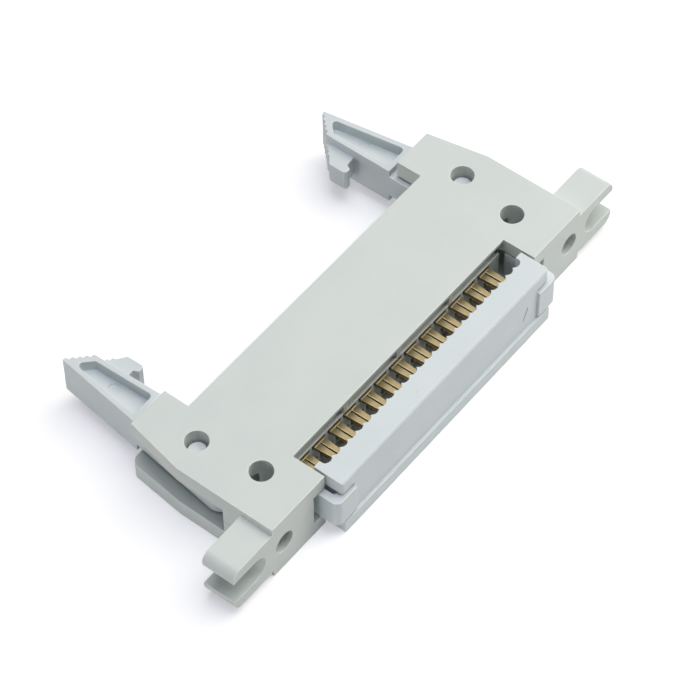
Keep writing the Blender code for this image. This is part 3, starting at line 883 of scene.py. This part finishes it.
@dataclass
class Studio:
    """A white table, a warm key light, a cool top light, two cards, and the photograph's camera."""

    azimuth: float = -51.09
    elevation: float = 52.69
    roll: float = -0.88
    distance: float = 318.53 * MM
    target: tuple[float, float, float] = (-3.731 * MM, 0.734 * MM, 8.1 * MM)
    lens_mm: float = 159.57
    sensor_mm: float = 36.0
    clip_start: float = 0.01
    clip_end: float = 10.0
    table_size: float = 3.0
    table_drop: float = 0.02 * MM
    table_colour: str = "#E6E6E4"
    table_lift: float = 0.4
    table_glow: str = "#F8F7FF"
    world_strength: float = 0.03
    world_colour: str = "#F6F6F4"
    backdrop: str = "#FFFFFF"

    def add_table(self) -> None:
        """Lay the white table, which keeps the plug's shadow and reads as plain white elsewhere."""
        bm = bmesh.new()
        bmesh.ops.create_grid(bm, x_segments=1, y_segments=1, size=self.table_size / 2)
        bmesh.ops.translate(bm, vec=(0.0, 0.0, -self.table_drop), verts=bm.verts)
        mesh = bpy.data.meshes.new("table")
        bm.to_mesh(mesh)
        bm.free()
        paper = bpy.data.materials.new("white_paper_sweep")
        paper.use_nodes = True
        tree = paper.node_tree
        tree.nodes.remove(tree.nodes["Principled BSDF"])
        matt = add_node(tree, "ShaderNodeBsdfDiffuse", {"Color": linear(self.table_colour)})
        glow = {"Color": linear(self.table_glow), "Strength": self.table_lift}
        lift = add_node(tree, "ShaderNodeEmission", glow)
        parts = {0: matt.outputs["BSDF"], 1: lift.outputs["Emission"]}
        both = add_node(tree, "ShaderNodeAddShader", parts)
        sides = {0: shown_rays(tree), 1: matt.outputs["BSDF"], 2: both.outputs["Shader"]}
        seen = add_node(tree, "ShaderNodeMixShader", sides)
        tree.links.new(seen.outputs["Shader"], tree.nodes["Material Output"].inputs["Surface"])
        mesh.materials.append(paper)
        table = bpy.data.objects.new("table", mesh)
        bpy.context.scene.collection.objects.link(table)

    def add_world(self) -> None:
        """Surround the scene with a faint, even light, and with white where it is seen."""
        world = bpy.data.worlds.new("studio")
        bpy.context.scene.world = world
        world.use_nodes = True
        tree = world.node_tree
        tree.nodes.remove(tree.nodes["Background"])
        faint = {"Color": linear(self.world_colour), "Strength": self.world_strength}
        fill = add_node(tree, "ShaderNodeBackground", faint)
        plain = {"Color": linear(self.backdrop), "Strength": 1.0}
        white = add_node(tree, "ShaderNodeBackground", plain)
        sides = {0: shown_rays(tree), 1: fill.outputs["Background"], 2: white.outputs["Background"]}
        seen = add_node(tree, "ShaderNodeMixShader", sides)
        tree.links.new(seen.outputs["Shader"], tree.nodes["World Output"].inputs["Surface"])

    def add_camera(self) -> None:
        """Place the camera where the photograph was taken from."""
        azimuth = math.radians(self.azimuth)
        elevation = math.radians(self.elevation)
        roll = math.radians(self.roll)
        back = Vector(
            (
                math.sin(azimuth) * math.cos(elevation),
                -math.cos(azimuth) * math.cos(elevation),
                math.sin(elevation),
            )
        )
        level = Vector((math.cos(azimuth), math.sin(azimuth), 0.0))
        upright = back.cross(level)
        across = math.cos(roll) * level + math.sin(roll) * upright
        up = -math.sin(roll) * level + math.cos(roll) * upright
        lens = bpy.data.cameras.new("camera")
        lens.lens = self.lens_mm
        lens.sensor_width = self.sensor_mm
        lens.clip_start = self.clip_start
        lens.clip_end = self.clip_end
        camera = bpy.data.objects.new("camera", lens)
        turn = Matrix((across, up, back)).transposed().to_4x4()
        camera.matrix_world = Matrix.Translation(Vector(self.target) + back * self.distance) @ turn
        bpy.context.scene.collection.objects.link(camera)
        bpy.context.scene.camera = camera

    def build(self) -> None:
        """Set up the table, the lights, the world and the camera."""
        self.add_table()
        for light in LIGHTS:
            light.hang()
        self.add_world()
        self.add_camera()
        bpy.context.scene.view_settings.view_transform = "Standard"
        log.info("studio: table, soft light, world and camera")


def main() -> None:
    """Build the plug's pieces and the studio round them, in order."""
    logging.basicConfig(level=logging.INFO, format="%(name)s %(message)s")
    Studio().build()
    Housing().build()
    Cover().build()
    Latch("latch_left", "latch_left", side=Side.LEFT).build()
    Latch("latch_right", "latch_right", side=Side.RIGHT).build()
    ContactField().build()


if __name__ == "__main__":
    main()
